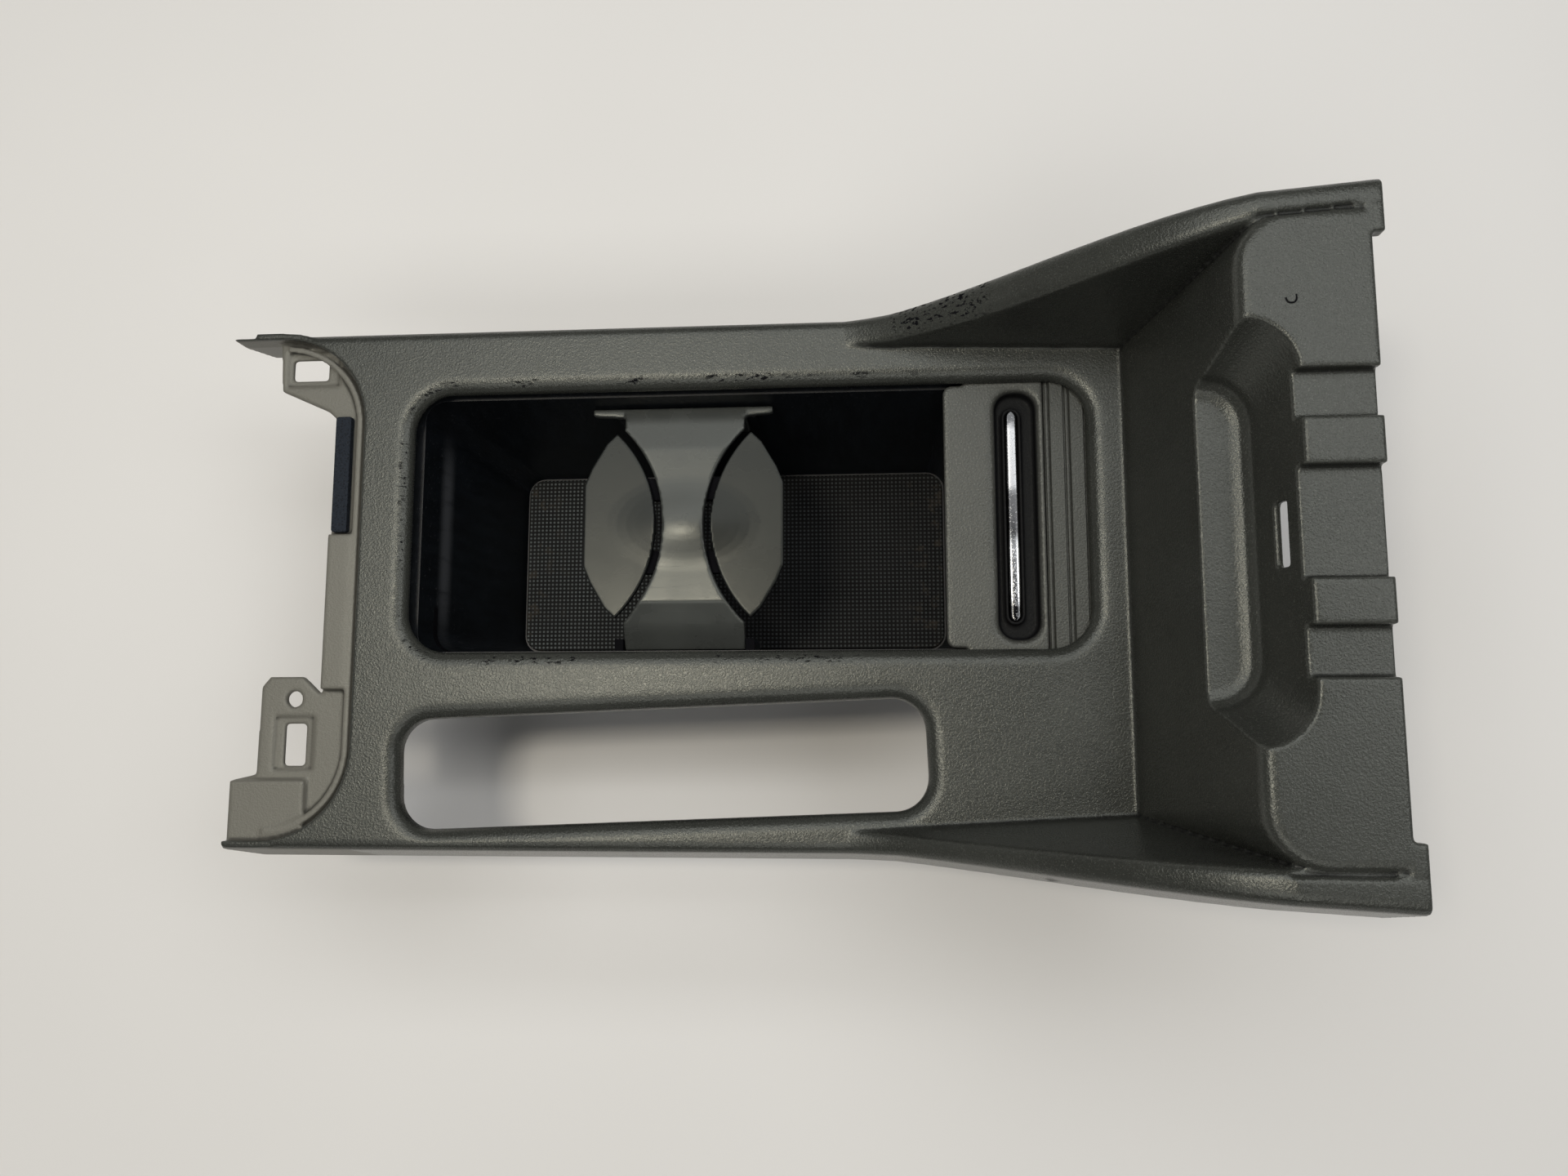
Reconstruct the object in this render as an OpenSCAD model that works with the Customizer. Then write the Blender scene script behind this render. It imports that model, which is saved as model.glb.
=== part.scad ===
/* [Console panel] */
// Length from the front tongue to the rear ears
panel_length = 365; // [350:1:380]
// Half width at the front, passenger side
front_half_p = 88; // [86:0.5:92]
// Half width at the front, driver side
front_half_d = 90.5; // [89:0.5:94]
// How much wider the passenger side is at the rear
flare_p = 10.5; // [8:0.5:13]
// How much wider the driver side is at the rear
flare_d = 8; // [6:0.5:11]
// Thickness of the moulding
wall = 2.3; // [2:0.1:2.6]
// Height of the outer skirt
skirt = 30; // [24:1:36]
// Outward slope of the skirt, as a share of its height
skirt_draft = 0.14; // [0.08:0.01:0.2]
// Radius along the outer edge
edge_r = 3.5; // [3:0.1:3.6]
// Height of the rear shelf and rails above the deck
rail_height = 70; // [62:1:76]
// Length over which the rails rise
ramp_len = 116; // [112:1:122]
// Length of the rails at full height
crest_len = 32.5; // [30:0.5:36]
// From the foot of the rear wall to the rear ears
rear_len = 56.9; // [55:0.2:58]
// How far the ears stand out behind the shelf
ear_len = 3.5; // [2.5:0.5:6]
// How far the rear wall leans back over its height
rear_wall_lean = 17.4; // [15:0.2:20]
// Corner radius of the shelf where it meets the rails
shelf_corner_r = 16; // [12:1:20]

/* [Cup opening] */
// Deck between the flange and the opening
front_deck = 17.5; // [15:0.5:20]
// Deck between the opening and the rear wall
rear_deck = 11.6; // [10.6:0.2:13]
// Width of the opening
open_w = 89.8; // [86:0.2:92]
// Middle of the opening across the panel
open_y = 20.5; // [19:0.5:22]
// Corner radius of the opening
open_r = 13.5; // [12:0.5:18]
// Depth of the rolled rim
roll_r = 4; // [3:0.2:4.4]
// How far the rolled rim spreads over the deck
roll_w = 5.5; // [4:0.5:6]

/* [Brake lever slot] */
// Length of the slot
slot_len = 176; // [168:1:177]
// Width of the slot
slot_w = 36.5; // [34:0.5:38]
// Deck between the flange and the slot
slot_deck = 17; // [15:0.5:20]
// Middle of the slot across the panel
slot_y = -62; // [-63:0.5:-61]
// Turn of the slot
slot_turn = 2.4; // [1.5:0.1:2.8]
// Corner radius of the slot
slot_r = 11; // [8:1:13]
// Depth of the wall round the slot
slot_depth = 7; // [6:0.5:12]

/* [Scooped pocket] */
// Floor of the pocket above the deck
pocket_floor = 44; // [40:1:48]
// Width of the pocket at its floor
pocket_floor_w = 96; // [90:1:100]
// Width of the pocket at its rim
pocket_rim_w = 116; // [110:1:118]
// Middle of the pocket across the panel
pocket_y = 1.5; // [0:0.5:3]
// From the rear edge of the pocket's rim to the rear ears
pocket_back = 24.5; // [23:0.5:27]
// Width of the latch slot
latch_w = 18; // [14:1:20]
// Height of the latch slot
latch_h = 5.5; // [4:0.5:8]

/* [Front flange] */
// How far the flange lies below the deck
flange_drop = 5; // [4:0.5:6]
// From the front tongue to the end of the deck
front_len = 49.5; // [48:0.5:52]
// Corner radius of the flange step
flange_r = 31; // [26:1:34]
// Width of the flange in front of the deck
flange_w = 12.4; // [11:0.1:14]
// Height of the rib along the flange
rib_h = 2; // [1:0.1:2.5]
// Diameter of the screw hole in the tab
tab_bore_d = 5.5; // [5:0.1:6]
// Thickness of the screw tab
tab_t = 2.5; // [2:0.1:3]

/* [Cup box] */
// Wall of the cup box
box_wall = 2.2; // [1.8:0.1:2.6]
// Slope of the passenger side of the well over its depth
well_slope_p = 12; // [8:0.5:13]
// Slope of the other sides of the well over its depth
well_slope = 5; // [3:0.5:6]
// Corner radius of the well
well_r = 7; // [5:0.5:9]
// Thickness of the rubber mat
mat_t = 2; // [1.6:0.1:2.4]
// Clearance round the rubber mat
mat_gap = 0.8; // [0.4:0.1:1.2]

/* [Shutter] */
// From the front edge of the open handle to the rear end of the opening
handle_inset = 47; // [46:0.5:50]
// Length of the handle panel
handle_len = 33.5; // [32:0.5:36]
// How far each side of the shutter reaches under the rim
tuck = 3.5; // [3:0.1:4]
// Thickness of the slats
slat_t = 3.6; // [3.2:0.1:3.8]
// Distance from slat to slat
slat_pitch = 6.6; // [6.4:0.05:6.8]
// Width of the jointed groove in front of each slat
groove = 1.75; // [1.6:0.05:1.9]
// Running clearance of the shutter
run_gap = 0.4; // [0.3:0.05:0.5]
// Gap left at the front rim when the shutter is closed
closed_gap = 1.5; // [1:0.5:3]

/* [Divider] */
// How far the divider stands in front of the middle of the well
divider_shift = 3.75; // [3:0.05:5]
// Width of the divider at its waist
waist_w = 14.4; // [13:0.2:16]
// Radius of the waist arcs
waist_r = 48; // [46:0.5:50]
// Width of the divider at its ends
divider_end_w = 42.5; // [41:0.5:44]
// Thickness of the divider and its flaps
divider_t = 2.4; // [2.2:0.1:2.6]
// Gap between the divider and each flap
flap_gap = 2.6; // [2.2:0.1:3]
// Reach of each flap beyond the divider's waist
flap_reach = 25.3; // [24:0.1:27]
// Half length of the flaps across the well
flap_half = 32.5; // [30:0.5:34]
// Diameter of the hinge pins
pin_d = 2; // [1.6:0.1:2.2]

/* [Hidden] */
$fn = 48;

panel_grey = "#5a5b57";
box_black = "#15181b";
satin_grey = "#5f6361";

// Number of slats that ride flat behind the handle, stand behind the well and lie under it
lead_count = 3;
rear_count = 8;
under_count = 13;
// Turn from slat to slat in each bend of the track
bend_step = 22.5;

// Heights under the deck are counted from the deck; deck is its height over the lowest face
bend_drop = slat_pitch * (cos(bend_step) + cos(2 * bend_step) + cos(3 * bend_step));
rim_drop = roll_r + 0.4;
cover_t = 1.8;
shutter_mid = -rim_drop - 0.5 - slat_t / 2;
under_mid = shutter_mid - 2 * bend_drop - rear_count * slat_pitch;
deck = -under_mid + slat_t / 2 + run_gap + cover_t;
track_floor = shutter_mid - slat_t / 2 - run_gap;
floor_under = under_mid + slat_t / 2 + run_gap;
floor_top = floor_under + box_wall;

rear_end = panel_length / 2;
front_end = -panel_length / 2;
shelf_end = rear_end - ear_len;
ramp_end = rear_end - crest_len;
ramp_start = ramp_end - ramp_len;
rear_wall_x = rear_end - rear_len;
pocket_rear = rear_end - pocket_back;
flange_x = front_end + front_len;
flange_edge = flange_x - flange_w;
bracket_x = flange_edge + 7.9;
open_front = flange_x + front_deck;
open_rear = rear_wall_x - rear_deck;
slot_x = flange_x + slot_deck + slot_len / 2;
handle_front = open_rear - handle_inset;
open_low = open_y - open_w / 2;
open_high = open_y + open_w / 2;
shutter_w = open_w + 2 * tuck;
handle_rear = handle_front + handle_len;
recess_front = handle_front + 17.5;
recess_rear = handle_rear - 3;
recess_side = 3.4;
recess_w = open_w - 2 * recess_side;
recess_depth = 5;
recess_wall = 1.2;
pod_gap = 0.8;
lead_rear = handle_rear + lead_count * slat_pitch;
stand_x = lead_rear + bend_drop;
stroke = handle_front - open_front - closed_gap;

// The well, at the level of the track floor and at its own floor
side_ledge = 0.5;
front_ledge = 1.2;
well_low = open_low + side_ledge;
well_high = open_high - side_ledge;
well_front = open_front + front_ledge;
well_rear = handle_front + 9;
divider_x = (well_front + well_rear) / 2 - divider_shift;
floor_low = well_low + well_slope;
floor_high = well_high - well_slope_p;
floor_front = well_front + well_slope + 10.8;
floor_rear = well_rear - well_slope;
guide_t = 2;
track_low = open_low - tuck - run_gap;
track_high = open_high + tuck + run_gap;

flare_start = ramp_start + 16;

function clamp01(t) = max(0, min(1, t));
function smooth(t) = t * t * (3 - 2 * t);
function mix(a, b, t) = a + (b - a) * t;
function reversed(v) = [for (i = [len(v) - 1:-1:0]) v[i]];

// Closed solid through rings with the same number of points, with flat convex ends
module skin(rings) {
    n = len(rings[0]);
    m = len(rings);
    points = [for (ring = rings) for (p = ring) p];
    sides = [
        for (i = [0:m - 2]) for (j = [0:n - 1])
        let (a = i * n + j, b = i * n + (j + 1) % n)
        each [[a, b + n, b], [a, a + n, b + n]]
    ];
    ends = [[for (j = [0:n - 1]) j], reversed([for (j = [0:n - 1]) (m - 1) * n + j])];
    polyhedron(points, concat(sides, ends));
}

// Ring of a rounded rectangle at height z, grown outwards by g
function rounded_ring(x0, y0, x1, y1, r, z, g = 0, steps = 8) = [
    for (c = [[x1 - r, y1 - r, 0], [x0 + r, y1 - r, 90], [x0 + r, y0 + r, 180], [x1 - r, y0 + r, 270]])
    for (i = [0:steps])
    let (a = c[2] + 90 * i / steps, q = max(0.2, r + g))
    [c[0] + q * cos(a), c[1] + q * sin(a), z]
];

// Flat rounded rectangle with true arcs
module rounded_rect(x0, y0, x1, y1, r) {
    translate([x0 + r, y0]) square([x1 - x0 - 2 * r, y1 - y0]);
    translate([x0, y0 + r]) square([x1 - x0, y1 - y0 - 2 * r]);
    for (x = [x0 + r, x1 - r], y = [y0 + r, y1 - r]) translate([x, y]) circle(r);
}

// Height of the rails above the deck along the panel
function rail_z(x) =
    let (t = clamp01((x - ramp_start) / (ramp_end - ramp_start)))
    rail_height * (0.6 * smooth(t) + 0.4 * t);

// Half width of the panel, which flares behind flare_start: side 1 is the passenger side and
// side -1 the driver side
function half_w(x, side) =
    let (t = clamp01((x - flare_start) / (rear_end - flare_start)))
    side > 0 ? front_half_p + flare_p * t : front_half_d + flare_d * t;

// Width of the rail on top
function rail_w(x, side) =
    let (
        t = clamp01((x - ramp_start) / (ramp_end - ramp_start)),
        u = clamp01((x - ramp_start) / (shelf_end - ramp_start))
    )
    side > 0 ? 9 + 3 * sin(180 * t) : 7 + 4.4 * u * u;

// Inner edge of a rail's top
function inner_edge(x, side) = half_w(x, side) - rail_w(x, side);

// Line where the inner wall of a rail meets the deck
function foot_y(x, side) =
    side > 0 ? front_half_p - 9.5 - 0.035 * (x - ramp_start) : front_half_d - 7.4 - 0.058 * (x - ramp_start);

// Half of a cross-section, from the hem of the skirt to the foot of the rail; inset 0 is the
// visible side and inset wall the hidden one
inner_r = 2.9;
function half_section(x, side, inset) =
    let (
        h = rail_z(x), w = half_w(x, side), crest = w - rail_w(x, side) + inner_r,
        k = min(1, h / 8), foot = min(foot_y(x, side), crest - inner_r - 0.3)
    )
    concat(
        [[w - inset + skirt * skirt_draft, h - skirt]],
        [for (a = [0:30:90]) [w - edge_r + (edge_r - inset) * cos(a), h - edge_r + (edge_r - inset) * sin(a)]],
        [
            for (a = [90:30:180])
            [crest + (inner_r - inset) * cos(a), h - inset - (inner_r - inset) * k * (1 - sin(a))]
        ],
        [[foot + inset, -inset]]
    );

function section(x, inset) = concat(
    [for (p = half_section(x, -1, inset)) [x, -p[0], p[1] + deck]],
    [for (p = reversed(half_section(x, 1, inset))) [x, p[0], p[1] + deck]]
);

// Sheet between an outer and an inner contour along the stations
module sheet(stations) {
    rings = [for (x = stations) concat(section(x, 0), reversed(section(x, wall)))];
    n = len(rings[0]);
    m = len(rings);
    half = n / 2;
    points = [for (ring = rings) for (p = ring) p];
    sides = [
        for (i = [0:m - 2]) for (j = [0:n - 1])
        let (a = i * n + j, b = i * n + (j + 1) % n)
        each [[a, b, b + n], [a, b + n, a + n]]
    ];
    last = (m - 1) * n;
    ends = [
        for (j = [0:half - 2])
        let (a = j, b = j + 1, c = n - 2 - j, d = n - 1 - j)
        each [[a, c, b], [a, d, c], [last + a, last + b, last + c], [last + a, last + c, last + d]]
    ];
    polyhedron(points, concat(sides, ends));
}

stations = concat(
    [front_end, divider_x, ramp_start],
    [for (x = [ramp_start + 4:4:ramp_end]) x],
    [ramp_end + 2, rear_end - 12, rear_end]
);

// Ring of the rear block at height z above the deck, drawn in by g
function block_ring(z, g) =
    let (
        t = z / rail_height, r = mix(1.2, shelf_corner_r, t),
        x = rear_wall_x + rear_wall_lean * t + g, lip = wall / 2,
        yp = mix(foot_y(rear_wall_x, 1), inner_edge(shelf_end, 1), t) + lip - g,
        yd = mix(foot_y(rear_wall_x, -1), inner_edge(shelf_end, -1), t) + lip - g,
        q = max(1, r - g)
    )
    concat(
        [[shelf_end, yp, deck + z]],
        [for (i = [0:6]) let (a = 90 + 15 * i) [x + q + q * cos(a), yp - q + q * sin(a), deck + z]],
        [for (i = [0:6]) let (a = 180 + 15 * i) [x + q + q * cos(a), -yd + q + q * sin(a), deck + z]],
        [[shelf_end, -yd, deck + z]]
    );

module block_solid(g) {
    lip_r = 3;
    skin(concat(
        [block_ring(-wall, g), block_ring(rail_height - g - lip_r, g)],
        [for (a = [30:30:90]) block_ring(rail_height - g - lip_r * (1 - sin(a)), g + lip_r * (1 - cos(a)))]
    ));
}

// The scoop of the pocket, grown outwards by g
module scoop(g) {
    foot_r = 6;
    x0 = rear_wall_x - 6;
    floor_x = pocket_rear - 6;
    y0 = pocket_y - pocket_floor_w / 2;
    y1 = pocket_y + pocket_floor_w / 2;
    z0 = deck + pocket_floor;
    spread = (pocket_rim_w - pocket_floor_w) / 2;
    depth = rail_height - pocket_floor;
    skin(concat(
        [
            for (a = [0:30:90])
            rounded_ring(
                x0, y0, floor_x, y1, 14, z0 + foot_r - (foot_r + g) * cos(a), g - foot_r * (1 - sin(a))
            )
        ],
        [rounded_ring(x0, y0 - spread, pocket_rear, y1 + spread, 15, z0 + depth, g)],
        [rounded_ring(x0, y0 - spread, pocket_rear, y1 + spread, 15, z0 + depth + 3, g)]
    ));
}

// Hole with a rim rolled roll_w wide and roll deep, cut from above
module rolled_cut(x0, y0, x1, y1, r, roll, depth, spread) {
    skin(concat(
        [rounded_ring(x0, y0, x1, y1, r, -depth), rounded_ring(x0, y0, x1, y1, r, -roll)],
        [for (a = [15:15:90]) rounded_ring(x0, y0, x1, y1, r, roll * (sin(a) - 1), spread * (1 - cos(a)))],
        [rounded_ring(x0, y0, x1, y1, r, 1, spread)]
    ));
}

module slot_place() {
    translate([slot_x, slot_y, deck]) rotate(slot_turn) children();
}

// Rear steps, which run from the pocket to the rear end: each gives its middle and its width
rear_steps = [[38.2, 13.5], [3.3, 30.4], [-31.2, 13.6]];
step_drop = 4;
step_front = pocket_rear - 3;

module rear_step_cuts() {
    for (s = rear_steps)
        translate([step_front, s[0] - s[1] / 2, deck + rail_height - step_drop])
            cube([shelf_end + 1 - step_front, s[1], step_drop + 1]);
}

module rear_step_floors() {
    for (s = rear_steps)
        translate([step_front, s[0] - s[1] / 2 - wall, deck + rail_height - step_drop - wall])
            cube([shelf_end - step_front, s[1] + 2 * wall, step_drop + wall - 0.5]);
}

// Fine groove between the shelf and a rail
module shelf_groove(side) {
    w = 1.5;
    xs = [for (t = [0:0.125:1]) mix(ramp_end - 2, shelf_end - 4, t)];
    ys = [for (x = xs) inner_edge(x, side) + 0.5];
    n = len(xs);
    translate([0, 0, deck + rail_height - 1.6]) linear_extrude(3) polygon(concat(
        [for (i = [0:n - 1]) [xs[i], side * (ys[i] + w)]], [for (i = [n - 1:-1:0]) [xs[i], side * ys[i]]]
    ));
}

latch_top = 17;
ear_w = 8;
ear_t = 5;
flange_top = deck - flange_drop;
step_low = -front_half_d + wall + 0.7;
step_high = front_half_p - wall + 0.8;

// Screw boss positions round the cup box: the panel carries the bosses, the box its lugs
boss_xs = [open_front + 23.5, divider_x + 12.9, well_rear - 4];
boss_d = 7;
lug_z = deck + track_floor - box_wall;
screw_d = 3;
boss_low_y = track_low - guide_t - boss_d / 2 - 0.3;
boss_high_y = track_high + guide_t + boss_d / 2 + 0.3;

module boss_places() {
    for (x = boss_xs, y = [boss_low_y, boss_high_y]) translate([x, y, 0]) children();
}

clip_post_w = 12;
clip_post_t = 4.8;
clip_post_drop = 8;

module clip_places() {
    spots = [[open_front + 55.5, 1], [ramp_start + 26, 1], [bracket_x + 9.5, -1], [ramp_end - 50, -1]];
    for (c = spots)
        translate([c[0], c[1] * half_w(c[0], c[1]), deck + rail_z(c[0]) - skirt - clip_post_drop]) children();
}

module clip_posts() {
    clip_places() translate([-clip_post_w / 2, -clip_post_t / 2, 0])
        cube([clip_post_w, clip_post_t, clip_post_drop + 10]);
}

// Flat outline of the flange with its bracket and screw tab
module flange_outline() {
    polygon([
        [flange_x + 12, step_low], [bracket_x - 12, step_low], [bracket_x - 38.3, step_low],
        [bracket_x - 38.3, -67.4], [bracket_x - 30, -65.5], [bracket_x - 29.8, -36], [bracket_x - 27, -32.4],
        [bracket_x - 15, -32.4], [flange_edge, -39], [flange_edge, 58.4], [bracket_x - 11, 61.2],
        [bracket_x - 28.5, 69], [bracket_x - 29.5, 84], [bracket_x - 29.5, step_high], [flange_x + 12, step_high]
    ]);
}

// Outline of the step down to the flange, grown by g
module step_shape(g) {
    rounded_rect(front_end - 40, step_low - g, flange_x + g, step_high + g, flange_r + g);
}

rib_in = 1.8;
rib_w = 2.2;
pad_w = flange_w - rib_in - rib_w - 0.8;
rib_start = 19;
foot_end = front_end + 6.5;
flange_pad_y = 16.8;
flange_pad_len = 53.5;
flange_pad_h = 2.2;
tongue_h = 1.6;
tab_x = bracket_x - 17.8;
tab_y = -40;

module console_panel() {
    color(panel_grey)
    difference() {
        union() {
            difference() {
                sheet(stations);
                // Step down to the front flange
                translate([0, 0, deck - 8]) linear_extrude(12) step_shape(0);
                // The block is open from below
                translate([rear_wall_x + 9, 8 - foot_y(rear_wall_x, -1), deck - wall - 1])
                    cube([60, foot_y(rear_wall_x, -1) + foot_y(rear_wall_x, 1) - 16, wall + 3]);
                // Shelf ends short of the two ears
                translate([shelf_end, -inner_edge(rear_end, -1), 0])
                    cube([30, inner_edge(rear_end, -1) + inner_edge(rear_end, 1), deck + rail_height + 5]);
            }
            difference() {
                block_solid(0);
                block_solid_hollow();
            }
            intersection() {
                block_solid(0);
                scoop(wall);
            }
            rear_step_floors();
            // Ears at the ends of the rails
            for (side = [-1, 1])
                translate([shelf_end - 1, side * (inner_edge(rear_end, side) + 1 - ear_w / 2), deck + rail_height])
                    translate([0, -ear_w / 2, -ear_t]) cube([ear_len + 1, ear_w, ear_t]);
            // Flange with its step wall
            translate([0, 0, flange_top - tab_t]) linear_extrude(tab_t) intersection() {
                flange_outline();
                step_shape(1);
            }
            translate([0, 0, flange_top - tab_t]) linear_extrude(flange_drop + tab_t - 0.6) difference() {
                step_shape(wall);
                step_shape(0);
                translate([front_end - 80, -150]) square([80 + 8, 300]);
            }
            // Rib that follows the step
            translate([0, 0, flange_top - 0.5]) linear_extrude(0.5 + rib_h) difference() {
                step_shape(-rib_in);
                step_shape(-rib_in - rib_w);
                translate([front_end - 50, -150]) square([50 + rib_start, 300]);
            }
            // Raised pad of the flange
            translate([flange_edge, flange_pad_y - flange_pad_len, flange_top - 1])
                cube([pad_w, flange_pad_len, 1 + flange_pad_h]);
            // Raised foot of the tongue
            translate([0, 0, flange_top - 1]) linear_extrude(1 + tongue_h) intersection() {
                step_shape(0.5);
                flange_outline();
                translate([bracket_x - 50, step_low - 1]) square([38, -67.4 - step_low + 1]);
            }
            // Rim wall of the cup opening
            translate([0, 0, deck - rim_drop]) linear_extrude(rim_drop - 0.5)
                rounded_rect(
                    open_front - wall, open_low - wall, open_rear + wall, open_high + wall, open_r + wall
                );
            // Wall round the brake lever slot
            slot_place() translate([0, 0, -slot_depth]) linear_extrude(slot_depth - 0.5)
                rounded_rect(
                    -slot_len / 2 - wall, -slot_w / 2 - wall,
                    slot_len / 2 + wall, slot_w / 2 + wall, slot_r + wall
                );
            // Screw bosses for the cup box
            boss_places() translate([0, 0, lug_z + box_wall])
                cylinder(d = boss_d, h = deck - wall / 2 - lug_z - box_wall);
            clip_posts();
        }
        translate([0, 0, deck])
            rolled_cut(open_front, open_low, open_rear, open_high, open_r, roll_r, 12, roll_w);
        slot_place()
            rolled_cut(
                -slot_len / 2, -slot_w / 2, slot_len / 2, slot_w / 2, slot_r, roll_r, slot_depth + 2, roll_w
            );
        scoop(0);
        rear_step_cuts();
        for (side = [-1, 1]) shelf_groove(side);
        // Latch slot through the rear face of the pocket
        translate([pocket_rear - 14, pocket_y - latch_w / 2, deck + pocket_floor + latch_top - latch_h])
            cube([14 + 8, latch_w, latch_h]);
        boss_places() translate([0, 0, lug_z + box_wall - 1])
            cylinder(d = screw_d - 0.5, h = deck - wall - lug_z - box_wall);
        // The driver side ends short of the tongue
        translate([front_end - 20, -front_half_d - 20, 0]) cube([foot_end - front_end + 20, 60, 200]);
        // Holes of the front flange
        translate([tab_x, tab_y, flange_top - tab_t - 1]) cylinder(d = tab_bore_d, h = tab_t + 2);
        translate([tab_x - 3, -62.5, flange_top - tab_t - 1]) cube([7.4, 14, tab_t + 2]);
        translate([tab_x - 7, -64.5, flange_top - 0.8]) cube([14.6, 19, 2]);
        translate([tab_x - 7, 72.8, flange_top - tab_t - 1]) cube([12.8, 7.6, tab_t + 2]);
        translate([tab_x - 9, 70, flange_top - 0.8]) cube([19.6, 13.5, 2]);
    }
}

module block_solid_hollow() {
    difference() {
        block_solid(wall);
        translate([0, -150, deck - 60]) cube([rear_wall_x + wall, 300, 60 - wall]);
    }
    translate([shelf_end - 20, 4 - inner_edge(shelf_end, -1), deck - 5])
        cube([30, inner_edge(shelf_end, -1) + inner_edge(shelf_end, 1) - 8, 5 + rail_height - 8]);
}

// Path of the slats: angle and front end of slat i, in the plane along the panel, under the deck
bend_r = slat_pitch / (2 * tan(bend_step / 2));
bend_x = lead_rear - slat_pitch / 2;
bend_z = shutter_mid - bend_r;
bend_z2 = under_mid + bend_r;
bends = 3;
function slat_angle(i) =
    i < lead_count ? 0
    : i < lead_count + bends ? bend_step * (i - lead_count + 1)
    : i < lead_count + bends + rear_count ? 90
    : i < lead_count + 2 * bends + rear_count ? 90 + bend_step * (i - lead_count - bends - rear_count + 1)
    : 180;
function slat_start(i) =
    i == 0 ? [handle_rear, shutter_mid]
    : slat_start(i - 1) + slat_pitch * [cos(slat_angle(i - 1)), -sin(slat_angle(i - 1))];

// Band that follows the slats' path between two offsets, from the first bend to the second
module bend_band(lo, hi, y0, y1) {
    for (c = [[bend_z, 0], [bend_z2, 90]])
        translate([bend_x, y0, deck + c[0]]) rotate([0, c[1], 0]) rotate([-90, -90, 0])
            rotate_extrude(angle = 90) translate([bend_r + lo, 0]) square([hi - lo, y1 - y0]);
    translate([stand_x + lo, y0, deck + bend_z2]) cube([hi - lo, y1 - y0, bend_z - bend_z2]);
}

half_channel = slat_t / 2 + run_gap;
guide_low = track_low - guide_t;
guide_high = track_high + guide_t;
under_end = lead_rear - under_count * slat_pitch - 5;

module track_cover() {
    color(box_black)
    difference() {
        union() {
            bend_band(-half_channel - cover_t, half_channel + cover_t, guide_low, guide_high);
            translate([under_end, guide_low, 0]) cube([bend_x - under_end, guide_high - guide_low, cover_t]);
            for (y = [guide_low, track_high])
                translate([under_end, y, 0])
                    cube([bend_x - under_end, guide_t, cover_t + 2 * half_channel - 0.2]);
        }
        bend_band(-half_channel, half_channel, track_low, track_high);
    }
}

divider_mid = (well_low + well_high) / 2;
divider_top = -13.6;
dome_h = 2;
dome_a = 27;
dome_b = 17;
post_w = 3;
post_h = 20;
post_reach = 5;
ear_z = divider_top - 5.5;
ear_h = 3;
divider_fit = 0.4;

// Space of the well, grown by g; the top is at the level of the track floor
module well(g, top_up) {
    skin([
        rounded_ring(floor_front, floor_low, floor_rear, floor_high, well_r, deck + floor_top - g, g),
        for (up = top_up > 0 ? [0, top_up] : [0])
            rounded_ring(well_front, well_low, well_rear, well_high, well_r, deck + track_floor + up, g)
    ]);
}

module cup_box() {
    pod_front = well_rear - well_r - 2;
    post_x = divider_end_w / 2 + post_w / 2 + 0.3;
    color(box_black)
    difference() {
        union() {
            difference() {
                union() {
                    well(box_wall, 0);
                    // Track floor and its guide walls
                    translate([open_front - 6, guide_low, lug_z])
                        cube([bend_x - 0.5 - open_front + 6, guide_high - guide_low, box_wall]);
                    for (y = [guide_low, track_high])
                        translate([open_front - 6, y, lug_z])
                            cube([
                                bend_x - 0.5 - open_front + 6, guide_t, box_wall - track_floor - wall - run_gap
                            ]);
                    // Plate that the slats run below
                    translate([under_end, guide_low, deck + floor_under])
                        cube([bend_x - 0.5 - under_end, guide_high - guide_low, box_wall]);
                    // Feet under the front of the box
                    for (y = [floor_low + 4, floor_high - 8])
                        translate([floor_front + 4, y, 0]) cube([40, 4, deck + floor_under + 1]);
                }
                well(0, 6);
                // Room for the handle's finger recess over the rear ledge
                translate([pod_front, open_y - recess_w / 2 - recess_wall - pod_gap, lug_z - 1])
                    cube([
                        recess_rear + recess_wall + pod_gap - pod_front, recess_w + 2 * (recess_wall + pod_gap),
                        box_wall + 2
                    ]);
            }
            // Ledges and posts that hold the divider at both walls
            intersection() {
                well(box_wall, 0);
                for (y = [well_low - 1, well_high - post_reach], x = [-1, 1])
                    translate([divider_x + x * post_x - post_w / 2, y, deck + ear_z - 0.2 - post_h])
                        cube([post_w, post_reach + 1, post_h]);
            }
            boss_places() translate([0, 0, lug_z]) cylinder(d = boss_d + 4, h = box_wall - run_gap / 2);
        }
        boss_places() translate([0, 0, lug_z - 1]) cylinder(d = screw_d + 0.4, h = box_wall + 2);
    }
}

module box_screws() {
    color("#3c3d3f") boss_places() {
        translate([0, 0, lug_z - 2.1]) cylinder(d = 5.6, h = 2);
        translate([0, 0, lug_z - 0.5]) cylinder(d = screw_d - 0.6, h = deck - wall - 1 - lug_z);
    }
}

module floor_mat() {
    color("#101214")
    translate([0, 0, deck + floor_top]) linear_extrude(mat_t)
        rounded_rect(
            floor_front + mat_gap, floor_low + mat_gap,
            floor_rear - mat_gap, floor_high - mat_gap, well_r - mat_gap
        );
}

foam_len = 41;
foam_w = 5.6;
module foam_strip() {
    color("#141a20")
    translate([flange_edge + 1.2, flange_pad_y + 0.7, flange_top]) cube([foam_w, foam_len, 2.6]);
}

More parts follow.
